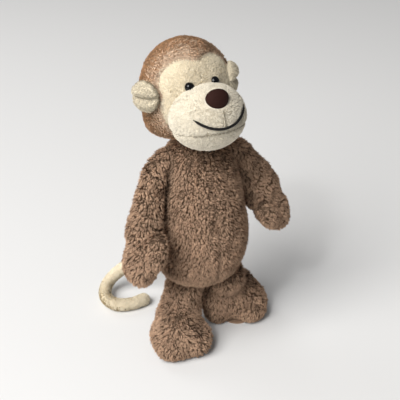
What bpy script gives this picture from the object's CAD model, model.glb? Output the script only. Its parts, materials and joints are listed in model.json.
import json
import math

import bpy
import numpy as np
from mathutils import Matrix, Vector
from mathutils.kdtree import KDTree


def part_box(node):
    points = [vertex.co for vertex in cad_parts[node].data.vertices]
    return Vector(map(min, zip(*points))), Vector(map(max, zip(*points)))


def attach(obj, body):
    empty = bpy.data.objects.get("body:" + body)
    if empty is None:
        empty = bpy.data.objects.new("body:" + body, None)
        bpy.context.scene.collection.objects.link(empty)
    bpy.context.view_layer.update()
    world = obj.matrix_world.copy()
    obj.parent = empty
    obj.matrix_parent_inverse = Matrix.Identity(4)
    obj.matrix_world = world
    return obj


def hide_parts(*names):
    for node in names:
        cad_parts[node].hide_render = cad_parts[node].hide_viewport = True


# The looks of a stuffed toy monkey: plush skins with a real pile, a cream face, stitched details.
# Shapes are worked out in millimetres about the torso's upright axis, with Z = 0 on the floor, and
# put into the row frame by to_row(). The toy faces -Y, and its own right side is -X.

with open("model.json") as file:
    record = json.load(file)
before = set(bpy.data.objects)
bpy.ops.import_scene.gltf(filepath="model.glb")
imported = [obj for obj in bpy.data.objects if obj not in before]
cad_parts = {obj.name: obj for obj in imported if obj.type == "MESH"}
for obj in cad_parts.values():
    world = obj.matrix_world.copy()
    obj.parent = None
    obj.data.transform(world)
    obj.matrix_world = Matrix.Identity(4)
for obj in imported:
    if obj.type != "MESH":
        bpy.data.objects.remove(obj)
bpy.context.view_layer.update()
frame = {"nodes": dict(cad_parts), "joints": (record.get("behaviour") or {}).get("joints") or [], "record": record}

MM = 0.001
SIDES = {"right": -1, "left": 1}

# Sizes that the joints don't give, mm
BELLY_Z = 118.0
BELLY_RADII = (43.0, 41.0)
TORSO_BOTTOM = 60.0
TORSO_TOP = 226.0
SKULL = np.array((40.0, 38.0, 44.0))
MUZZLE = np.array((32.5, 32.0, 27.5))
MUZZLE_CENTRE = np.array((0.0, -37.0, -18.0))
ARM_OUT = {"right": 19.0, "left": 22.0}
TAIL_R = 6.8

# Pile lengths, mm
BODY_PILE = 5.2
HOOD_PILE = 2.4
SHORT_PILE = 1.6
FRILL_PILE = 2.6

# The brown cloth lies this far inside the frame's solids, so that its pile's tips end about where
# the solids end, mm
INSET = 3.0


def joint_place(name):
    joint = next(j for j in frame["joints"] if j["name"] == name)
    return np.array(joint["pos_m"])


def joint_axis(name):
    joint = next(j for j in frame["joints"] if j["name"] == name)
    return np.array(joint["axis"])


AXIS_FOOT = (joint_place("leg_left_swing") + joint_place("leg_right_swing")) / 2 * (1, 1, 0)


def to_row(points):
    return np.asarray(points, float) * MM + AXIS_FOOT


def from_row(points):
    return (np.asarray(points, float) - AXIS_FOOT) / MM


# --- materials ----------------------------------------------------------------------------------

def new_material(name, colour, roughness=0.85, sheen=0.0, specular=0.3):
    material = bpy.data.materials.new(name)
    material.use_nodes = True
    shader = material.node_tree.nodes["Principled BSDF"]
    shader.inputs["Base Color"].default_value = (*colour, 1.0)
    shader.inputs["Roughness"].default_value = roughness
    shader.inputs["Specular IOR Level"].default_value = specular
    shader.inputs["Sheen Weight"].default_value = sheen
    shader.inputs["Sheen Roughness"].default_value = 0.5
    shader.inputs["Sheen Tint"].default_value = (*[min(1.0, c * 1.6 + 0.1) for c in colour], 1.0)
    return material


def mottled(material, dark, light, scale, bump_scale, bump_height):
    """Cloth whose colour drifts between two tones, with a fine bump of pressed pile."""
    nodes = material.node_tree.nodes
    links = material.node_tree.links
    shader = nodes["Principled BSDF"]
    place = nodes.new("ShaderNodeTexCoord")
    patches = nodes.new("ShaderNodeTexNoise")
    patches.inputs["Scale"].default_value = scale
    patches.inputs["Detail"].default_value = 4.0
    ramp = nodes.new("ShaderNodeValToRGB")
    ramp.color_ramp.elements[0].position = 0.35
    ramp.color_ramp.elements[0].color = (*dark, 1.0)
    ramp.color_ramp.elements[1].position = 0.65
    ramp.color_ramp.elements[1].color = (*light, 1.0)
    pile = nodes.new("ShaderNodeTexNoise")
    pile.inputs["Scale"].default_value = bump_scale
    pile.inputs["Detail"].default_value = 2.0
    bump = nodes.new("ShaderNodeBump")
    bump.inputs["Strength"].default_value = 0.6
    bump.inputs["Distance"].default_value = bump_height * MM
    links.new(place.outputs["Object"], patches.inputs["Vector"])
    links.new(place.outputs["Object"], pile.inputs["Vector"])
    links.new(patches.outputs["Fac"], ramp.inputs["Fac"])
    links.new(ramp.outputs["Color"], shader.inputs["Base Color"])
    links.new(pile.outputs["Fac"], bump.inputs["Height"])
    links.new(bump.outputs["Normal"], shader.inputs["Normal"])
    return material


def satin_stitch(material, dark, light, threads_per_metre=2500.0, turn=0.6, relief=0.3):
    """Embroidery: fine parallel threads, side by side, turned by an angle in radians."""
    nodes = material.node_tree.nodes
    links = material.node_tree.links
    shader = nodes["Principled BSDF"]
    place = nodes.new("ShaderNodeTexCoord")
    mapping = nodes.new("ShaderNodeMapping")
    mapping.inputs["Rotation"].default_value = (0.0, turn, 0.0)
    wave = nodes.new("ShaderNodeTexWave")
    wave.inputs["Scale"].default_value = threads_per_metre / (2 * math.pi)
    wave.inputs["Distortion"].default_value = 1.5
    wave.inputs["Detail"].default_value = 2.0
    ramp = nodes.new("ShaderNodeValToRGB")
    ramp.color_ramp.elements[0].color = (*dark, 1.0)
    ramp.color_ramp.elements[1].color = (*light, 1.0)
    bump = nodes.new("ShaderNodeBump")
    bump.inputs["Strength"].default_value = 0.5
    bump.inputs["Distance"].default_value = relief * MM
    links.new(place.outputs["Object"], mapping.inputs["Vector"])
    links.new(mapping.outputs["Vector"], wave.inputs["Vector"])
    links.new(wave.outputs["Fac"], ramp.inputs["Fac"])
    links.new(ramp.outputs["Color"], shader.inputs["Base Color"])
    links.new(wave.outputs["Fac"], bump.inputs["Height"])
    links.new(bump.outputs["Normal"], shader.inputs["Normal"])
    return material


BROWN = np.array((0.480, 0.318, 0.214))
HOOD = np.array((0.790, 0.600, 0.440))
CREAM = np.array((0.870, 0.775, 0.595))
PALE = np.array((0.820, 0.755, 0.625))

TONE_COUNT = 5


def pile_materials(name, colour, spread, root_shade, sheen):
    """For each tone, a material for the deep half of the hairs and one for their tips."""
    materials = []
    for number in range(TONE_COUNT):
        tone = 1.0 + spread * (number - (TONE_COUNT - 1) / 2)
        tip = np.clip(colour * tone, 0, 1)
        root = np.clip(colour * tone * root_shade, 0, 1)
        materials.append(new_material(f"{name}_root_{number}", root, roughness=0.95, specular=0.1))
        materials.append(new_material(f"{name}_tip_{number}", tip, sheen=sheen, specular=0.2))
    return materials


def cloth_material(name, colour, bump_height=0.5):
    base = new_material(name, colour, roughness=0.95, sheen=0.1, specular=0.1)
    return mottled(base, colour * 0.94, np.clip(colour * 1.04, 0, 1), 60.0, 1500.0, bump_height)


brown_cloth = cloth_material("brown_cloth", BROWN * 0.4)
hood_cloth = cloth_material("hood_cloth", HOOD * 0.85)
cream_cloth = cloth_material("cream_cloth", CREAM * 0.9)
pale_cloth = cloth_material("pale_cloth", PALE * 0.92)
sole_felt = mottled(new_material("sole_felt", BROWN * 0.6, roughness=0.95, specular=0.1),
                    BROWN * 0.5, BROWN * 0.7, 120.0, 2500.0, 0.3)
brown_pile = pile_materials("brown_pile", BROWN, spread=0.16, root_shade=0.38, sheen=0.2)
hood_pile = pile_materials("hood_pile", HOOD, spread=0.11, root_shade=0.8, sheen=0.0)
cream_pile = pile_materials("cream_pile", CREAM, spread=0.05, root_shade=0.84, sheen=0.1)
ear_pile = pile_materials("ear_pile", CREAM * 0.74, spread=0.05, root_shade=0.75, sheen=0.1)
pale_pile = pile_materials("pale_pile", PALE, spread=0.04, root_shade=0.88, sheen=0.1)


# --- mesh helpers -------------------------------------------------------------------------------

def object_from(name, points, faces, materials, material_index=None, normals=None):
    """A shaded-smooth object from points in millimetres and a list or array of faces."""
    mesh = bpy.data.meshes.new(name)
    points = to_row(points)
    if isinstance(faces, np.ndarray):
        sizes = np.full(len(faces), faces.shape[1])
        corners = faces.ravel()
    else:
        sizes = np.array([len(face) for face in faces])
        corners = np.concatenate([np.asarray(face) for face in faces])
    mesh.vertices.add(len(points))
    mesh.vertices.foreach_set("co", points.astype(np.float32).ravel())
    mesh.loops.add(len(corners))
    mesh.loops.foreach_set("vertex_index", corners.astype(np.int32))
    mesh.polygons.add(len(sizes))
    starts = np.concatenate(([0], np.cumsum(sizes)[:-1]))
    mesh.polygons.foreach_set("loop_start", starts.astype(np.int32))
    for material in materials:
        mesh.materials.append(material)
    if material_index is not None:
        mesh.polygons.foreach_set("material_index", np.asarray(material_index, np.int32))
    mesh.polygons.foreach_set("use_smooth", np.ones(len(sizes), bool))
    mesh.update(calc_edges=True)
    if normals is not None:
        mesh.normals_split_custom_set_from_vertices(normals.astype(np.float32))
    obj = bpy.data.objects.new(name, mesh)
    bpy.context.scene.collection.objects.link(obj)
    return obj


def globe(rows, columns):
    """Points and triangles of a unit ball with its poles on Z, as rings that can be shaped."""
    down = np.linspace(0.02, math.pi - 0.02, rows)
    around = np.linspace(0, 2 * math.pi, columns, endpoint=False)
    grid_down, grid_around = np.meshgrid(down, around, indexing="ij")
    points = np.stack([
        np.sin(grid_down) * np.cos(grid_around),
        np.sin(grid_down) * np.sin(grid_around),
        np.cos(grid_down),
    ], -1).reshape(-1, 3)
    points = np.vstack([points, [[0, 0, 1], [0, 0, -1]]])
    return points, ring_faces(rows, columns, len(points) - 2, len(points) - 1)


def ring_faces(rows, columns, top, bottom):
    """Triangles between rings of points, closed with a fan to the top and one to the bottom."""
    faces = []
    for row in range(rows - 1):
        for column in range(columns):
            after = (column + 1) % columns
            a = row * columns + column
            b = row * columns + after
            faces.append((a, a + columns, b + columns))
            faces.append((a, b + columns, b))
    for column in range(columns):
        after = (column + 1) % columns
        faces.append((top, column, after))
        last = (rows - 1) * columns
        faces.append((bottom, last + after, last + column))
    return np.array(faces)


def vertex_normals(points, faces):
    a, b, c = points[faces[:, 0]], points[faces[:, 1]], points[faces[:, 2]]
    face_normals = np.cross(b - a, c - a)
    normals = np.zeros_like(points)
    for corner in range(3):
        np.add.at(normals, faces[:, corner], face_normals)
    return normals / np.maximum(np.linalg.norm(normals, axis=1, keepdims=True), 1e-9)


def melted(lumps, voxel, smoothing):
    """One closed skin round overlapping lumps (centre, radii, turn), with soft joins."""
    ball_points, ball_faces = globe(18, 28)
    points = []
    faces = []
    for centre, radii, turn in lumps:
        placed = (ball_points * np.asarray(radii)) @ np.asarray(turn).T + np.asarray(centre)
        faces.append(ball_faces + sum(len(p) for p in points))
        points.append(placed)
    rough = object_from("rough", np.vstack(points), np.vstack(faces), [])
    remesh = rough.modifiers.new("remesh", "REMESH")
    remesh.mode = "VOXEL"
    remesh.voxel_size = voxel * MM
    soften = rough.modifiers.new("soften", "SMOOTH")
    soften.factor = 0.5
    soften.iterations = smoothing
    bpy.context.view_layer.update()
    depsgraph = bpy.context.evaluated_depsgraph_get()
    skin = rough.evaluated_get(depsgraph).to_mesh()
    skin.calc_loop_triangles()
    flat = np.zeros(len(skin.vertices) * 3)
    skin.vertices.foreach_get("co", flat)
    corners = np.zeros(len(skin.loop_triangles) * 3, np.int32)
    skin.loop_triangles.foreach_get("vertices", corners)
    rough.evaluated_get(depsgraph).to_mesh_clear()
    bpy.data.objects.remove(rough)
    return from_row(flat.reshape(-1, 3)), corners.reshape(-1, 3)


def round_lump(centre, radius):
    """A ball for melted(), smaller by the depth of the pile."""
    return centre, [radius - INSET] * 3, np.eye(3)


def unit(vectors):
    return vectors / np.maximum(np.linalg.norm(vectors, axis=-1, keepdims=True), 1e-9)


def turn_about(axis, degrees):
    return np.array(Matrix.Rotation(math.radians(degrees), 3, Vector(axis)))


# --- pile ---------------------------------------------------------------------------------------

def drift(points, wavelength, seed):
    """A smooth random number from about -1 to 1 at each point, repeatable."""
    rng = np.random.default_rng(seed)
    total = np.zeros(len(points))
    for _ in range(6):
        direction = rng.normal(size=3)
        direction *= 2 * math.pi / wavelength * rng.uniform(0.6, 1.4) / np.linalg.norm(direction)
        total += np.sin(points @ direction + rng.uniform(0, 2 * math.pi))
    return total / 3.0


def scatter(points, faces, per_mm2, rng):
    """Random points on a skin, evenly by area, with their normals."""
    a, b, c = points[faces[:, 0]], points[faces[:, 1]], points[faces[:, 2]]
    areas = np.linalg.norm(np.cross(b - a, c - a), axis=1) / 2
    count = int(areas.sum() * per_mm2)
    chosen = rng.choice(len(faces), count, p=areas / areas.sum())
    u, v = rng.random(count), rng.random(count)
    over = u + v > 1
    u[over], v[over] = 1 - u[over], 1 - v[over]
    normals = vertex_normals(points, faces)
    corner = faces[chosen]

    def mix(values):
        return (values[corner[:, 0]] * (1 - u - v)[:, None] + values[corner[:, 1]] * u[:, None]
                + values[corner[:, 2]] * v[:, None])

    return mix(points), unit(mix(normals))


def tuft_middles(roots, hairs_each, rng):
    """For each root, the number of the root at the middle of its tuft."""
    count = max(8, len(roots) // hairs_each)
    middles = rng.choice(len(roots), count, replace=False)
    tree = KDTree(count)
    for number, middle in enumerate(middles):
        tree.insert(roots[middle], number)
    tree.balance()
    return np.array([middles[tree.find(root)[1]] for root in roots.tolist()])


class Pile:
    """How a cloth's pile stands: lengths in mm, angles in radians, shares from 0 to 1."""

    def __init__(self, materials, length, width, per_mm2, lean, gather=0.45, hairs_per_tuft=11,
                 hairs_per_lock=80, lock=0.18, swirl=0.35, stray=0.22, tuft_turn=0.35, rough=0.5):
        self.materials = materials
        self.length = length
        self.width = width
        self.per_mm2 = per_mm2
        self.lean = lean
        self.gather = gather
        self.hairs_per_tuft = hairs_per_tuft
        self.hairs_per_lock = hairs_per_lock
        self.lock = lock
        self.swirl = swirl
        self.stray = stray
        self.tuft_turn = tuft_turn
        self.rough = rough


def always(points):
    return np.ones(len(points))


def grow(name, body, skin, pile, seed, comb, keep=None, length_at=always, lean_at=always,
         tone_at=None):
    """A piece of pile: flat tapered hairs, gathered in tufts and combed along the skin."""
    rng = np.random.default_rng(seed)
    roots, normals = scatter(*skin, pile.per_mm2, rng)
    if keep is not None:
        kept = keep(roots)
        roots, normals = roots[kept], normals[kept]
    count = len(roots)
    tuft = tuft_middles(roots, pile.hairs_per_tuft, rng)
    lock = tuft_middles(roots, pile.hairs_per_lock, rng)

    along = comb(roots)
    along = unit(along - normals * np.sum(along * normals, axis=1, keepdims=True))
    across = np.cross(normals, along)
    angle = pile.swirl * (drift(roots, 26.0, seed + 1) + 0.7 * drift(roots, 9.0, seed + 2))
    angle = angle + rng.normal(0, pile.stray, count)
    angle = angle + rng.normal(0, pile.tuft_turn, count)[tuft]
    along = along * np.cos(angle)[:, None] + across * np.sin(angle)[:, None]
    across = np.cross(normals, along)

    lengths = pile.length * rng.uniform(0.8, 1.12, count) * length_at(roots)
    lengths = (lengths * (1 + rng.normal(0, 0.08, count)[tuft]))[:, None]
    leans = pile.lean * lean_at(roots) * (1 + 0.2 * drift(roots, 14.0, seed + 3))
    leans = leans + rng.normal(0, 0.08, count) + rng.normal(0, 0.12, count)[tuft]
    leans = np.clip(leans, 0.05, 1.35)[:, None]
    middles = roots + (normals * np.cos(leans * 0.6) + along * np.sin(leans * 0.6)) * lengths * 0.5
    tips = middles + (normals * np.cos(leans) + along * np.sin(leans)) * lengths * 0.5
    middles += (middles[tuft] - middles) * pile.gather * 0.35
    tips += (tips[tuft] - tips) * pile.gather
    tips += (tips[lock] - tips) * pile.lock * (0.5 + 0.5 * rng.random(count))[lock][:, None]
    tips += rng.normal(0, 0.05, tips.shape) * lengths

    twist = rng.normal(0, 0.7, count)[:, None]
    flat = across * np.cos(twist) + normals * np.sin(twist)
    bottoms = roots - normals * 0.4
    facing = np.cross(flat, tips - bottoms)
    outward = np.where(np.sum(facing * normals, axis=1, keepdims=True) < 0, -1.0, 1.0)
    flat = flat * outward
    lit = unit(normals * (1 - pile.rough) + unit(facing * outward) * pile.rough)
    half = pile.width * rng.uniform(0.8, 1.2, count)[:, None] / 2
    hair_points = np.stack([
        bottoms - flat * half,
        bottoms + flat * half,
        middles - flat * half * 0.85,
        middles + flat * half * 0.85,
        tips,
    ], 1).reshape(-1, 3)
    first = np.arange(count)[:, None] * 5
    lower = np.concatenate([first + np.array(side) for side in ((0, 1, 3), (0, 3, 2))], 0)
    upper = first + np.array((2, 3, 4))

    tone = 0.5 * drift(roots[tuft], 12.0, seed + 4) + rng.normal(0, 0.5, count)
    tone = tone + rng.normal(0, 0.6, count)[tuft] + rng.normal(0, 0.35, count)[lock]
    if tone_at is not None:
        tone = tone + tone_at(roots)
    tone = np.clip(np.round(tone + (TONE_COUNT - 1) / 2), 0, TONE_COUNT - 1).astype(int)
    index = np.concatenate([np.tile(tone * 2, 2), tone * 2 + 1])
    piece = object_from(name, hair_points, np.vstack([lower, upper]), pile.materials, index,
                        np.repeat(lit, 5, axis=0))
    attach(piece, body)
    return piece


TORSO_PILE = Pile(brown_pile, BODY_PILE * 0.9, 0.65, 2.8, 0.7, gather=0.5, hairs_per_tuft=8,
                  hairs_per_lock=36, lock=0.12, rough=0.7)
LIMB_PILE = Pile(brown_pile, BODY_PILE, 0.75, 2.4, 0.85, gather=0.55, hairs_per_tuft=12,
                 hairs_per_lock=60, lock=0.25, rough=0.7)
HOOD_FUR = Pile(hood_pile, HOOD_PILE, 0.5, 4.8, 0.9, hairs_per_tuft=10, swirl=0.2, stray=0.15,
                tuft_turn=0.2, lock=0.08, rough=0.45)
CREAM_FUR = Pile(cream_pile, SHORT_PILE, 0.5, 4.5, 0.9, hairs_per_tuft=12, lock=0.1)
PALE_FUR = Pile(pale_pile, SHORT_PILE, 0.5, 4.5, 0.9, hairs_per_tuft=12, lock=0.1, rough=0.45)
EAR_FUR = Pile(ear_pile, SHORT_PILE, 0.5, 4.5, 0.8, hairs_per_tuft=12, lock=0.1)
FRILL_FUR = Pile(cream_pile, FRILL_PILE, 0.5, 4.0, 0.9, gather=0.4, hairs_per_tuft=8, lock=0.1,
                 rough=0.2)


# --- torso --------------------------------------------------------------------------------------

def torso_skin():
    """A pear-shaped sack, drawn in at the seam down its front and back and creased at the chest."""
    points, faces = globe(90, 120)
    upper = points[:, 2] > 0
    height = np.where(upper, TORSO_TOP - BELLY_Z, BELLY_Z - TORSO_BOTTOM) - INSET
    shaped = points * (BELLY_RADII[0] - INSET, BELLY_RADII[1] - INSET, 1.0)
    shaped[:, 2] = points[:, 2] * height
    around = np.arctan2(points[:, 0], -points[:, 1])
    seam = np.exp(-(np.sin(around) / 0.07) ** 2)
    rise = np.clip((shaped[:, 2] + 20) / 60, 0, 1)
    shaped -= unit(points * (1, 1, 0.2)) * (seam * (1.0 + 1.8 * rise))[:, None]
    side_fold = np.exp(-((np.abs(around) - 0.62 + shaped[:, 2] * 0.003) / 0.09) ** 2)
    side_fold *= np.exp(-((shaped[:, 2] - 72) / 20) ** 2)
    shaped -= unit(points * (1, 1, 0.2)) * (side_fold * 2.4)[:, None]
    shoulders = np.exp(-((shaped[:, 2] - 82) / 14) ** 2) * np.abs(points[:, 0]) / np.hypot(
        np.abs(points[:, 0]), np.abs(points[:, 1]) + 1e-6)
    shaped[:, 0] += np.sign(points[:, 0]) * shoulders * 4.5
    right_hip = np.exp(-((shaped[:, 2] + 40) / 18) ** 2) * np.clip(-points[:, 0] * 1.3, 0, 1)
    shaped[:, 0] -= right_hip * 9.0
    lumps = drift(shaped, 38.0, 5) * 0.8
    shaped += unit(points) * lumps[:, None]
    shaped[:, 2] += BELLY_Z
    return shaped, faces


def downward(points):
    return np.tile((0.0, 0.0, -1.0), (len(points), 1))


def torso():
    skin = torso_skin()
    sack = object_from("torso_skin", *skin, [brown_cloth])
    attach(sack, "torso")
    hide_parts("torso_front_left", "torso_front_right", "torso_back_left",
                "torso_back_right", "torso_stuffing")

    def beside_arms(points):
        """From 0 to 1: the crease where an arm lies against the torso."""
        crease = np.zeros(len(points))
        for side in SIDES:
            along = arm_matrix(side) @ (0, 0, -1)
            from_shoulder = points - from_row(joint_place(f"arm_{side}_lift"))
            down = np.clip(from_shoulder @ along, 0, 90)
            gap = np.linalg.norm(from_shoulder - down[:, None] * along, axis=1) - 15.0
            crease = np.maximum(crease, np.exp(-(np.maximum(gap, 0) / 3.5) ** 2))
        return crease

    def torso_tone(points):
        around = np.arctan2(points[:, 0], -points[:, 1])
        front_seam = np.exp(-(around / 0.05) ** 2)
        return -2.0 * front_seam - 4.0 * beside_arms(points)

    def torso_length(points):
        return 1.0 - 0.6 * beside_arms(points)

    def stands_up(points):
        facing = -unit(points * (1, 1, 0))[:, 1]
        return 1.0 - 0.35 * np.clip(facing, 0, 1)

    halves = {"front": lambda p: p[:, 1] < 0, "back": lambda p: p[:, 1] >= 0}
    for number, (half, keep) in enumerate(halves.items()):
        grow("torso_pile_" + half, "torso", skin, TORSO_PILE, 100 + 10 * number,
             downward, keep=keep, length_at=torso_length, lean_at=stands_up, tone_at=torso_tone)


# --- arms ---------------------------------------------------------------------------------------

def arm_matrix(side):
    """Turns an arm that hangs straight down so that it lies as the frame's arm does."""
    lift = joint_axis(f"arm_{side}_lift") * -SIDES[side]
    out = turn_about((0, 1, 0), -SIDES[side] * ARM_OUT[side])
    forward = math.degrees(math.atan2(lift[2], lift[1]))
    return turn_about((1, 0, 0), forward) @ out


# How far below the shoulder each lump of an arm is, and its radius
ARM_RADII = {
    "right": ((9, 12.0), (18, 12.8), (27, 13.6), (36, 14.6), (45, 15.6), (54, 16.6), (63, 17.4)),
    "left": ((9, 12.0), (18, 12.6), (27, 14.0), (36, 16.2), (45, 18.2), (54, 19.8), (63, 20.4)),
}
ARM_BOW = {"right": 1.0, "left": 3.0}
HAND_OUT = {"right": 0.0, "left": 4.0}


def arm_skin(side):
    """An arm that hangs straight down from its shoulder at the origin, with a thumb lobe."""
    inward = -SIDES[side]
    lumps = [
        round_lump((inward * 11, 0, 9), 10.0),
        round_lump((inward * 6, 0, 4), 11.0),
        round_lump((inward * 2, 0, -2), 11.5),
    ]
    for drop, radius in ARM_RADII[side]:
        bow = ARM_BOW[side] * math.sin(math.pi * drop / 90) ** 2
        lumps.append(round_lump((-inward * bow, 0, -drop), radius))
    hand = (-inward * HAND_OUT[side], -4, -84.5)
    thumb = (inward * 5, -22, -74)
    lumps.append((hand, np.array((16.5, 23.5, 27.0)) - INSET, np.eye(3)))
    lumps.append((thumb, np.array((10.5, 12.5, 20.0)) - INSET, np.eye(3)))
    points, faces = melted(lumps, 2.4, 8)
    points += vertex_normals(points, faces) * (drift(points, 30.0, 9) * 0.7)[:, None]
    return points, faces


def arm(side):
    points, faces = arm_skin(side)
    turn = arm_matrix(side)
    centre = from_row(joint_place(f"arm_{side}_lift"))
    skin = (points @ turn.T + centre, faces)
    sleeve = object_from(f"arm_{side}_skin", *skin, [brown_cloth])
    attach(sleeve, "arm_" + side)
    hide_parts(f"arm_{side}_outer", f"arm_{side}_inner", f"arm_{side}_stuffing")
    downwards = turn @ (0, 0, -1)
    grow(f"arm_{side}_pile", "arm_" + side, skin, LIMB_PILE, 200 + 10 * SIDES[side],
         lambda p: np.tile(downwards, (len(p), 1)))


# --- legs ---------------------------------------------------------------------------------------

TOES_OUT = {"right": 14.0, "left": 42.0}
LEG_FULLER_INSIDE = {"right": 3.0, "left": 15.0}
HIP_R = 17.0
ANKLE_R = 20.5
SOLE_SHARE = 0.84

# Lowest heights, mm
LEG_CLOTH_LOW = 1.8
LEG_ROOTS_LOW = 2.4
TAIL_CLOTH_LOW = 0.9
TAIL_ROOTS_LOW = 1.2
HAIR_LOW = 0.4

# Soft lumps that make up each foot: how far to the inner side and how far back, and their radii
FOOT_LUMPS = {
    "right": (
        (-2.0, -2.5, (23.0, 29.0, 17.0)),
        (-9.0, -18.5, (13.0, 14.0, 11.5)),
        (19.0, -9.0, (12.0, 14.0, 11.5)),
        (16.0, -19.0, (11.0, 12.0, 10.0)),
    ),
    "left": (
        (-1.0, 2.0, (22.0, 28.0, 17.0)),
        (8.0, -22.0, (13.0, 13.0, 11.5)),
        (-6.0, -18.0, (13.0, 13.0, 11.5)),
        (22.0, 9.0, (12.0, 12.0, 12.0)),
    ),
}


def foot_frame(side):
    """The middle of the foot on the floor, read from its sole, and the turn of its toes."""
    low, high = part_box(f"foot_{side}_sole")
    middle = from_row((np.array(low) + np.array(high)) / 2)
    return middle * (1, 1, 0), turn_about((0, 0, 1), SIDES[side] * TOES_OUT[side])


def leg_skin(side):
    """A leg from its hip down to a wide foot that stands on the floor, already in place."""
    hip = from_row(joint_place(f"leg_{side}_swing"))
    middle, turn = foot_frame(side)
    inward = -SIDES[side]
    ankle = middle + turn @ (0, 6, 26)
    inner_thigh = (hip + ankle) / 2 + (inward * LEG_FULLER_INSIDE[side], 0, -6)
    lumps = [
        round_lump(hip, 19.5),
        (middle + turn @ (0, -4, 27), (20.5 - INSET, 23.0 - INSET, 19.0), turn),
        (middle + turn @ (0, -9, 20), (21.5 - INSET, 25.0 - INSET, 15.0), turn),
        (middle + turn @ (inward * 6, -3, 21), (21.0 - INSET, 21.0 - INSET, 14.0), turn),
        (inner_thigh, (19.0 - INSET, 17.0 - INSET, 24.0), np.eye(3)),
    ]
    for step in np.linspace(0.1, 1.0, 8):
        lumps.append(round_lump(hip + (ankle - hip) * step, HIP_R + (ANKLE_R - HIP_R) * step))
    for inner, back, radii in FOOT_LUMPS[side]:
        lumps.append((middle + turn @ (inward * inner, back, 11.5), radii, turn))
    points, faces = melted(lumps, 2.6, 16)
    points[:, 2] = np.maximum(points[:, 2], LEG_CLOTH_LOW)
    return points, faces


def leg(side):
    skin = leg_skin(side)
    stocking = object_from(f"leg_{side}_skin", *skin, [brown_cloth])
    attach(stocking, "leg_" + side)
    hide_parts(f"leg_{side}_outer", f"leg_{side}_inner", f"leg_{side}_stuffing")
    sole(side)

    def off_the_floor(roots):
        return roots[:, 2] > LEG_ROOTS_LOW

    def shorter_low(roots):
        return np.clip(0.6 + roots[:, 2] / 30.0, 0.6, 1.0)

    pile = grow(f"leg_{side}_pile", "leg_" + side, skin, LIMB_PILE,
                300 + 10 * SIDES[side], downward, keep=off_the_floor, length_at=shorter_low)
    raise_above_floor(pile)


def sole(side):
    """The felt sole, drawn in from the edge of the foot so that the pile hangs over it."""
    node = frame["nodes"][f"foot_{side}_sole"]
    points = from_row([vertex.co for vertex in node.data.vertices])
    middle = (points.max(0) + points.min(0)) / 2
    points[:, :2] = middle[:2] + (points[:, :2] - middle[:2]) * SOLE_SHARE
    faces = [tuple(polygon.vertices) for polygon in node.data.polygons]
    piece = object_from(f"foot_{side}_felt", points, faces, [sole_felt])
    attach(piece, "leg_" + side)
    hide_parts(node.name)


def raise_above_floor(piece):
    """Lifts the tips of hairs that would reach into the floor."""
    mesh = piece.data
    flat = np.zeros(len(mesh.vertices) * 3, np.float32)
    mesh.vertices.foreach_get("co", flat)
    points = flat.reshape(-1, 3)
    points[:, 2] = np.maximum(points[:, 2], HAIR_LOW * MM)
    mesh.vertices.foreach_set("co", points.ravel())
    mesh.update()


# --- head ---------------------------------------------------------------------------------------

def head_matrix():
    """Columns: the head's own X, Y and Z, read from its joints' axes."""
    x = unit(joint_axis("head_nod"))
    z = unit(joint_axis("ear_right_flop"))
    return np.stack([x, np.cross(z, x), z], 1)


HEAD_TURN = head_matrix()
HEAD_CENTRE = from_row(joint_place("head_turn"))


def on_head(points):
    return np.asarray(points, float) @ HEAD_TURN.T + HEAD_CENTRE


def in_head(points):
    return (points - HEAD_CENTRE) @ HEAD_TURN


# The face's outline, its eyes, nose, chin seam and smile in the head's own front view, mm, with the
# smile's two ends as degrees from straight down
FACE_LOBE_R = 20.0
FACE_LOBE = (12.0, 10.0)
FACE_LOWER_R = 32.5
FACE_LOWER_Z = -5.0
EYE = (11.8, 9.0)
NOSE_CENTRE = np.array((0.0, -60.0, 0.0))
NOSE_RADII = np.array((10.0, 7.0, 8.8))
CHIN_SEAM = -26.0
CHIN_STITCHES_X = 24.0
SMILE_R = 30.0
SMILE_MIDDLE_Z = 8.0
SMILE_ENDS = (-50.0, 54.0)
SMILE_POINTS = 90


def outside_face(x, z):
    """How far a point of the front view is outside the face's outline: negative inside."""
    lobes = np.hypot(np.abs(x) - FACE_LOBE[0], z - FACE_LOBE[1]) - FACE_LOBE_R
    lower = np.hypot(x, z - FACE_LOWER_Z) - FACE_LOWER_R
    return np.minimum(lobes, lower)


def face_skin():
    """The stuffed head: an upright egg, dented at the eyes, full at the cheeks and drawn in where
    the hood covers it."""
    points, faces = globe(80, 110)
    outside = outside_face(points[:, 0] * SKULL[0], points[:, 2] * SKULL[2])
    outside = np.where(points[:, 1] > 0, 10.0, outside)
    shaped = points * SKULL - unit(points) * (0.8 + 3.2 * np.clip(outside / 5, 0, 1))[:, None]
    for x in SIDES.values():
        eye = np.array((x * EYE[0], -34.0, EYE[1]))
        near = np.exp(-(np.linalg.norm(shaped - eye, axis=1) / 8.0) ** 2)
        shaped[:, 1] -= near * 0.3
    cheek = np.exp(-((np.abs(shaped[:, 0]) - 26) / 10) ** 2 - ((shaped[:, 2] + 14) / 14) ** 2)
    shaped += unit(points) * (cheek * (points[:, 1] < 0) * 1.2)[:, None]
    return shaped, faces


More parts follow.
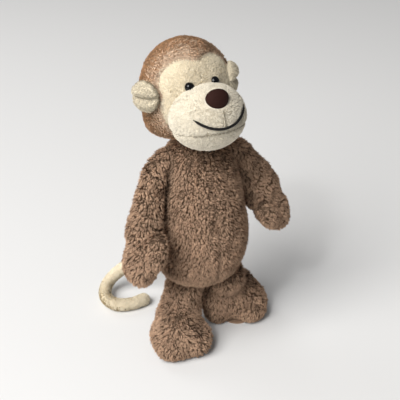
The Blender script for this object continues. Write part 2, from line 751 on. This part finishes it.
def hood_skin():
    """The hood: a cap over the back of the head, with its rim along the face's outline."""
    columns = 150
    rows = 60
    around = np.linspace(0, 2 * math.pi, columns, endpoint=False)
    low = np.full(columns, math.pi / 2)
    high = np.full(columns, math.pi - 1e-3)
    for _ in range(40):
        middle = (low + high) / 2
        x = SKULL[0] * np.sin(middle) * np.cos(around)
        z = SKULL[2] * np.sin(middle) * np.sin(around)
        outside = outside_face(x, z) > 0
        low = np.where(outside, middle, low)
        high = np.where(outside, high, middle)
    rim = low
    steps = np.linspace(0.02, 1.0, rows)[:, None]
    polar = steps * rim
    points = np.stack([
        np.sin(polar) * np.cos(around),
        np.cos(polar),
        np.sin(polar) * np.sin(around),
    ], -1)
    raised = 1.6 * np.clip((1.0 - steps) / 0.03, 0, 1) ** 0.5 - 1.2
    raised = raised - 1.8 * np.clip((0.95 - steps) / 0.4, 0, 1)
    nape = np.exp(-((points[..., 2] + 0.62) / 0.3) ** 2) * np.clip(points[..., 1] + 0.75, 0, 1)
    side_fill = np.exp(-((np.abs(points[..., 0]) - 0.75) / 0.35) ** 2)
    raised = raised + nape * side_fill * 7.0
    shaped = points * SKULL + unit(points) * raised[..., None]
    shaped = np.vstack([shaped.reshape(-1, 3), [[0, SKULL[1] - 2.2, 0]]])
    faces = []
    for row in range(rows - 1):
        for column in range(columns):
            after = (column + 1) % columns
            a, b = row * columns + column, row * columns + after
            faces.append((a, b + columns, a + columns))
            faces.append((a, b, b + columns))
    for column in range(columns):
        faces.append((len(shaped) - 1, (column + 1) % columns, column))
    return shaped, np.array(faces)


def muzzle_skin(low, high):
    """The part of the muzzle's ball between two heights in the head, drawn in at the chin seam."""
    rows, columns = 44, 110
    top = min(1.0, (high - MUZZLE_CENTRE[2]) / MUZZLE[2])
    bottom = max(-1.0, (low - MUZZLE_CENTRE[2]) / MUZZLE[2])
    down = np.linspace(math.acos(top) + 0.01, math.acos(bottom) - 0.01, rows)
    around = np.linspace(0, 2 * math.pi, columns, endpoint=False)
    grid_down, grid_around = np.meshgrid(down, around, indexing="ij")
    boxy = 0.93
    ring = np.sin(grid_down) ** boxy
    points = np.stack([
        ring * np.cos(grid_around),
        ring * np.sin(grid_around),
        np.cos(grid_down),
    ], -1).reshape(-1, 3)
    shaped = points * (MUZZLE - 0.6)
    seam_z = CHIN_SEAM - MUZZLE_CENTRE[2]
    groove = np.exp(-((shaped[:, 2] - seam_z) / 1.3) ** 2)
    shaped -= unit(points) * (groove * 0.8)[:, None]
    ends = [[0, 0, shaped[:columns, 2].mean()], [0, 0, shaped[-columns:, 2].mean()]]
    shaped = np.vstack([shaped, ends]) + MUZZLE_CENTRE
    return shaped, ring_faces(rows, columns, len(shaped) - 2, len(shaped) - 1)


def on_muzzle(x, z, lift=0.0):
    """The point on the front of the muzzle at a place in the head's front view."""
    u = x / MUZZLE[0]
    w = (z - MUZZLE_CENTRE[2]) / MUZZLE[2]
    depth = MUZZLE[1] * math.sqrt(max(0.0, 1 - u * u - w * w)) + lift
    return np.array((x, MUZZLE_CENTRE[1] - depth, z))


def tube(path, radii, sides=10):
    """A round tube through a list of points, closed at both ends."""
    path = np.asarray(path, float)
    along = unit(np.gradient(path, axis=0))
    normal = unit(np.cross(along, (0.31, 0.17, 0.93)))
    binormal = np.cross(along, normal)
    bearings = -np.linspace(0, 2 * math.pi, sides, endpoint=False)
    radii = np.asarray(radii)[:, None]
    sideways = (np.cos(bearings) * radii)[..., None]
    upwards = (np.sin(bearings) * radii)[..., None]
    rings = path[:, None] + normal[:, None] * sideways + binormal[:, None] * upwards
    points = np.vstack([rings.reshape(-1, 3), path[:1], path[-1:]])
    return points, ring_faces(len(path), sides, len(points) - 2, len(points) - 1)


def from_nose(points):
    """On the face and the muzzle the pile runs away from the nose."""
    return (in_head(points) - NOSE_CENTRE * (1.0, 1.15, 1.0)) @ HEAD_TURN.T


def from_nape(points):
    """On the hood the pile runs from the back of the head over the crown to the rim."""
    return (in_head(points) - np.array((0.0, 60.0, -10.0))) @ HEAD_TURN.T


def face():
    points, faces = face_skin()
    skin = (on_head(points), faces)
    piece = object_from("face_skin", *skin, [cream_cloth])
    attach(piece, "head")
    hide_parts("face_panel", "head_stuffing")

    def bare(local):
        """Where something else lies on the face, so that it needs no pile."""
        in_muzzle = np.linalg.norm((local - MUZZLE_CENTRE) / (MUZZLE - 0.5), axis=1) < 1
        under_eye = np.hypot(np.abs(local[:, 0]) - EYE[0], local[:, 2] - EYE[1]) < 3.0
        return (local[:, 1] > 0) | in_muzzle | under_eye

    def on_face(roots):
        local = in_head(roots)
        return (outside_face(local[:, 0], local[:, 2]) < 1.0) & ~bare(local)

    def on_face_edge(roots):
        local = in_head(roots)
        outside = outside_face(local[:, 0], local[:, 2])
        return (outside > -1.2) & (outside < 1.6) & ~bare(local)

    grow("face_pile", "head", skin, CREAM_FUR, 400, from_nose, keep=on_face)
    grow("face_frill", "head", skin, FRILL_FUR, 405, from_nose, keep=on_face_edge)


def hood():
    points, faces = hood_skin()
    skin = (on_head(points), faces)
    piece = object_from("hood_skin", *skin, [hood_cloth])
    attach(piece, "head")
    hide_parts("hood_left", "hood_right")

    def rim_streaks(roots):
        """From 0 to 1: narrow partings that run across the rim."""
        local = in_head(roots)
        rim = outside_face(local[:, 0], local[:, 2])
        bearing = np.arctan2(local[:, 2], local[:, 0])
        partings = np.sin(bearing * 70 + 3.0 * drift(roots, 16.0, 77)) > 0.35
        return partings * np.exp(-((rim - 5.0) / 4.0) ** 2) * (local[:, 1] < 4)

    def hood_length(roots):
        return 1.0 - 0.55 * rim_streaks(roots)

    def hood_tone(roots):
        return -4.0 * rim_streaks(roots)

    halves = {"right": lambda p: in_head(p)[:, 0] < 0, "left": lambda p: in_head(p)[:, 0] >= 0}
    for number, (side, keep) in enumerate(halves.items()):
        grow("hood_pile_" + side, "head", skin, HOOD_FUR, 500 + 10 * number, from_nape,
             keep=keep, length_at=hood_length, tone_at=hood_tone)


def muzzle_and_chin():
    def outside_skull(roots):
        local = in_head(roots)
        beyond = np.linalg.norm(local / SKULL, axis=1) > 0.96
        flat_end = np.abs(local[:, 2] - CHIN_SEAM) < 0.25
        under_nose = np.linalg.norm((local - NOSE_CENTRE) / (NOSE_RADII + 0.3), axis=1) < 1
        return beyond & ~flat_end & ~under_nose

    parts = (
        ("muzzle", "muzzle_panel", CHIN_SEAM, 40.0, 410),
        ("chin", "chin_gusset", -90.0, CHIN_SEAM, 420),
    )
    for name, node, low, high, seed in parts:
        points, faces = muzzle_skin(low, high)
        skin = (on_head(points), faces)
        piece = object_from(name + "_skin", *skin, [pale_cloth])
        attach(piece, "head")
        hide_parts(node)

        grow(name + "_pile", "head", skin, PALE_FUR, seed, from_nose,
             keep=outside_skull)


def nose():
    """A padded oval, broader at the top, worked over in satin stitch."""
    points, faces = globe(40, 60)
    narrowing = 1.02 - 0.24 * np.clip(0.3 - points[:, 2], 0, 1.3) / 1.3
    points = np.sign(points) * np.abs(points) ** 0.92
    shaped = points * NOSE_RADII
    shaped[:, 0] *= narrowing
    material = new_material("nose_thread", (0.028, 0.010, 0.008), roughness=0.8, specular=0.12)
    satin_stitch(material, (0.024, 0.008, 0.006), (0.032, 0.012, 0.009),
                 threads_per_metre=2200.0, turn=0.0, relief=0.12)
    piece = object_from("nose_embroidery", on_head(shaped + NOSE_CENTRE), faces, [material])
    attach(piece, "head")
    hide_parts("nose")


def mouth():
    """A smile of black thread on the muzzle, thick in the middle and pointed at its ends."""
    path = [
        on_muzzle(SMILE_R * math.sin(angle), SMILE_MIDDLE_Z - SMILE_R * math.cos(angle), 0.9)
        for angle in np.radians(np.linspace(*SMILE_ENDS, SMILE_POINTS))
    ]
    ends = np.clip((1 - np.abs(np.linspace(-1, 1, SMILE_POINTS))) / 0.12, 0.25, 1)
    twist = 1 + 0.10 * np.sin(np.arange(SMILE_POINTS) * 2.2)
    points, faces = tube(path, 1.1 * ends * twist)
    material = new_material("mouth_thread", (0.008, 0.007, 0.007), roughness=0.7, specular=0.2)
    satin_stitch(material, (0.006, 0.005, 0.005), (0.012, 0.011, 0.011))
    piece = object_from("mouth_embroidery", on_head(points), faces, [material])
    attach(piece, "head")
    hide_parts("mouth_thread")


def stitch_row(places, length, radius):
    """Short stitches one after another along the places, each bulging a little out of the cloth."""
    gaps = [0.0]
    for before, after in zip(places, places[1:]):
        gaps.append(gaps[-1] + math.dist(before, after))
    points = []
    faces = []
    for start in np.arange(0.0, gaps[-1] - length, length * 1.3):
        path = []
        for step in np.linspace(0, 1, 8):
            x, z = (np.interp(start + step * length, gaps, [place[axis] for place in places])
                    for axis in (0, 1))
            path.append(on_muzzle(x, z, 0.3 + 0.35 * math.sin(math.pi * step)))
        stitch_points, stitch_faces = tube(path, [radius] * 8, 8)
        faces.append(stitch_faces + sum(len(p) for p in points))
        points.append(stitch_points)
    return on_head(np.vstack(points)), np.vstack(faces)


def muzzle_stitches():
    """Tan stitches from the nose down to the mouth, and along the chin seam."""
    material = new_material("philtrum_thread", CREAM * 0.42, roughness=0.7)
    satin_stitch(material, CREAM * 0.3, CREAM * 0.5)
    top = NOSE_CENTRE[2] - NOSE_RADII[2] + 0.5
    bottom = SMILE_MIDDLE_Z - SMILE_R + 1.5
    points, faces = stitch_row([(0.15, top), (0.15, bottom)], 1.6, 0.5)
    piece = object_from("philtrum_stitches", points, faces, [material])
    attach(piece, "head")
    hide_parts("philtrum_thread")
    seam = [(x, CHIN_SEAM) for x in np.linspace(-CHIN_STITCHES_X, CHIN_STITCHES_X, 30)]
    points, faces = stitch_row(seam, 2.6, 0.45)
    piece = object_from("chin_stitches", points, faces, [material])
    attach(piece, "head")


EAR_RADII = (13.0, 3.8, 12.8)
EAR_REACH = 8.5
EAR_RISE = 1.5
EAR_TUCKED_IN = {"right": 1.5, "left": 5.0}
EAR_NEARER_HEAD = {"right": 0.0, "left": 5.5}
EAR_SWEEP_BACK = 62.0


def ear(side):
    """A small round ear, folded over itself across the middle, so that it has two lobes."""
    x_side = SIDES[side]
    points, faces = globe(50, 64)
    shaped = points * EAR_RADII
    fold = 1.0 + 0.12 * shaped[:, 0] * x_side
    above = np.clip((shaped[:, 2] - fold) / 3.0, 0, 1)
    below = np.clip((fold - shaped[:, 2]) / 7.5, 0, 1)
    front = points[:, 1] < 0
    middle = np.clip(1.35 - np.hypot(points[:, 0], points[:, 2]) ** 2, 0, 1)
    roll = np.where(shaped[:, 2] > fold, -3.2 * np.sqrt(above), 2.9 * (1 - below) ** 1.5 - 1.8 * below)
    shaped[:, 1] += roll * middle * front
    shaped += (x_side * EAR_REACH, 0, EAR_RISE)
    shaped[:, 0] -= EAR_TUCKED_IN[side] * x_side
    turn = turn_about((0, 0, 1), x_side * EAR_SWEEP_BACK)
    root = in_head(from_row(joint_place(f"ear_{side}_flop"))[None, :])[0]
    root = root - (x_side * EAR_NEARER_HEAD[side], 0, 0)
    skin = (on_head(shaped @ turn.T + root), faces)
    piece = object_from(f"ear_{side}_skin", *skin, [cream_cloth])
    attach(piece, "ear_" + side)
    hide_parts(f"ear_{side}_front", f"ear_{side}_back")
    outward = HEAD_TURN @ turn @ (x_side, 0, 0)
    grow(f"ear_{side}_pile", "ear_" + side, skin, EAR_FUR, 430 + x_side,
         lambda p: np.tile(outward, (len(p), 1)))


def eyes():
    """The safety eyes keep the frame's shape, in black gloss plastic."""
    material = new_material("eye_gloss", (0.003, 0.003, 0.004), roughness=0.06)
    for side in SIDES:
        node = frame["nodes"]["eye_" + side]
        node.data.materials.clear()
        node.data.materials.append(material)


# --- tail ---------------------------------------------------------------------------------------

TAIL_STEPS = 120
TAIL_ROUTE = [
    (0, 37, 84), (-20, 68, 62), (-46, 94, 38), (-68, 108, 16),
    (-80, 94, 7), (-76, 73, 7), (-58, 65, 7), (-38, 69, 7),
]


def smooth_path(route, count):
    """Evenly spaced points on a smooth curve near the route's points."""
    route = np.asarray(route, float)
    for _ in range(4):
        first, last = route[:1], route[-1:]
        inner_a = route[:-1] * 0.75 + route[1:] * 0.25
        inner_b = route[:-1] * 0.25 + route[1:] * 0.75
        route = np.vstack([first, np.stack([inner_a, inner_b], 1).reshape(-1, 3), last])
    gaps = np.linalg.norm(np.diff(route, axis=0), axis=1)
    distance = np.concatenate(([0], np.cumsum(gaps)))
    even = np.linspace(0, distance[-1], count)
    return np.stack([np.interp(even, distance, route[:, axis]) for axis in range(3)], 1)


def tail():
    """A thin stuffed tube with soft lumps, rounded at its tip."""
    path = smooth_path(TAIL_ROUTE, TAIL_STEPS)
    start = from_row(joint_place("tail_swing"))
    path = path - path[0] + start
    distance = np.linspace(0, 1, TAIL_STEPS)
    radii = (TAIL_R - 1.0) * (1 + 0.03 * np.sin(distance * 40))
    tip = np.clip((1 - distance) / 0.035, 0, 1)
    radii = radii * np.sqrt(1 - (1 - tip) ** 2 * 0.98)
    points, faces = tube(path, radii, 40)
    points[:, 2] = np.maximum(points[:, 2], TAIL_CLOTH_LOW)
    skin = (points, faces)
    piece = object_from("tail_skin", *skin, [cream_cloth])
    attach(piece, "tail")
    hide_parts("tail_cover", "tail_stuffing")

    tree = KDTree(len(path))
    for number, point in enumerate(path):
        tree.insert(Vector(point), number)
    tree.balance()
    along = np.gradient(path, axis=0)

    def towards_tip(roots):
        return np.array([along[tree.find(Vector(root))[1]] for root in roots])

    pile = grow("tail_pile", "tail", skin, CREAM_FUR, 440, towards_tip,
                keep=lambda p: p[:, 2] > TAIL_ROOTS_LOW)
    raise_above_floor(pile)


# --- hidden pieces that stay as the frame has them ----------------------------------------------

def inner_pieces():
    """Threads, pellet bags and washers keep their shape and get a finish of their own."""
    thread = new_material("seam_thread", BROWN * 0.7, roughness=0.7)
    satin_stitch(thread, BROWN * 0.5, BROWN * 0.9)
    pale_thread = new_material("pale_seam_thread", CREAM * 0.8, roughness=0.7)
    satin_stitch(pale_thread, CREAM * 0.7, CREAM * 0.9)
    bag = new_material("pellet_bag_cloth", (0.8, 0.79, 0.75), roughness=0.9, sheen=0.1, specular=0.2)
    mottled(bag, (0.74, 0.73, 0.69), (0.84, 0.83, 0.79), 90.0, 900.0, 0.5)
    washer = new_material("washer_plastic", (0.75, 0.75, 0.72), roughness=0.45, specular=0.5)
    finishes = {
        "brown_thread": thread,
        "cream_thread": pale_thread,
        "pellet_bag_cloth": bag,
        "washer_plastic": washer,
    }
    for entry in frame["record"]["subparts"]:
        if entry["material_slot"] in finishes and not entry["node"].startswith("philtrum"):
            mesh = frame["nodes"][entry["node"]].data
            mesh.materials.clear()
            mesh.materials.append(finishes[entry["material_slot"]])


# --- stage --------------------------------------------------------------------------------------

CAMERA_AZIMUTH = -21.0
CAMERA_ELEVATION = 30.0
CAMERA_ROLL = 3.5
CAMERA_DISTANCE = 0.800
CAMERA_AIM = (0.0, 0.0, 150.0)
CAMERA_LENS = 78.48
PICTURE_WIDTH = 36.0      # mm, like the lens
FLOOR_REACH = 6.0         # m, from the toy to each edge of the floor


def camera():
    data = bpy.data.cameras.new("camera")
    data.sensor_width = PICTURE_WIDTH
    data.lens = CAMERA_LENS
    obj = bpy.data.objects.new("camera", data)
    bpy.context.scene.collection.objects.link(obj)
    azimuth = math.radians(CAMERA_AZIMUTH)
    elevation = math.radians(CAMERA_ELEVATION)
    back = Vector((
        math.sin(azimuth) * math.cos(elevation),
        -math.cos(azimuth) * math.cos(elevation),
        math.sin(elevation),
    ))
    right = Vector((math.cos(azimuth), math.sin(azimuth), 0.0))
    up = back.cross(right)
    roll = Matrix.Rotation(math.radians(-CAMERA_ROLL), 3, "Z")
    turn = Matrix((right, up, back)).transposed() @ roll
    place = Vector(to_row(CAMERA_AIM)) + back * CAMERA_DISTANCE
    obj.matrix_world = Matrix.Translation(place) @ turn.to_4x4()
    bpy.context.scene.camera = obj


def area_light(name, place, aim, size, power, colour=(1.0, 1.0, 1.0)):
    """A round light, with lengths in metres and its power in watts."""
    data = bpy.data.lights.new(name, "AREA")
    data.shape = "DISK"
    data.size = size
    data.energy = power
    data.color = colour
    obj = bpy.data.objects.new(name, data)
    obj.location = place
    obj.rotation_euler = (Vector(aim) - Vector(place)).to_track_quat("-Z", "Y").to_euler()
    bpy.context.scene.collection.objects.link(obj)


def stage():
    corners = [(x * FLOOR_REACH, y * FLOOR_REACH, 0) for x, y in ((-1, -1), (1, -1), (1, 1), (-1, 1))]
    mesh = bpy.data.meshes.new("floor")
    mesh.from_pydata(corners, [], [(0, 1, 2, 3)])
    floor = bpy.data.objects.new("floor", mesh)
    paper = new_material("floor_paper", (0.80, 0.80, 0.80), roughness=0.9, specular=0.1)
    floor.data.materials.append(paper)
    bpy.context.scene.collection.objects.link(floor)
    world = bpy.data.worlds.new("studio")
    world.use_nodes = True
    background = world.node_tree.nodes["Background"]
    background.inputs["Color"].default_value = (1.0, 1.0, 1.0, 1.0)
    background.inputs["Strength"].default_value = 0.20
    bpy.context.scene.world = world
    area_light("key", (-1.66, -0.88, 2.1), (0, 0, 0.12), size=2.2, power=88.0,
               colour=(1.0, 0.985, 0.96))
    area_light("spark", (-1.20, -1.10, 1.9), (0, 0, 0.25), size=0.25, power=9.0)
    area_light("back", (-0.5, 1.3, 1.2), (0, 0, 0.2), size=0.9, power=4.0)
    bpy.context.scene.view_settings.view_transform = "Standard"


camera()
stage()
torso()
for limb_side in SIDES:
    arm(limb_side)
    leg(limb_side)
    ear(limb_side)
face()
hood()
muzzle_and_chin()
nose()
mouth()
muzzle_stitches()
eyes()
tail()
inner_pieces()
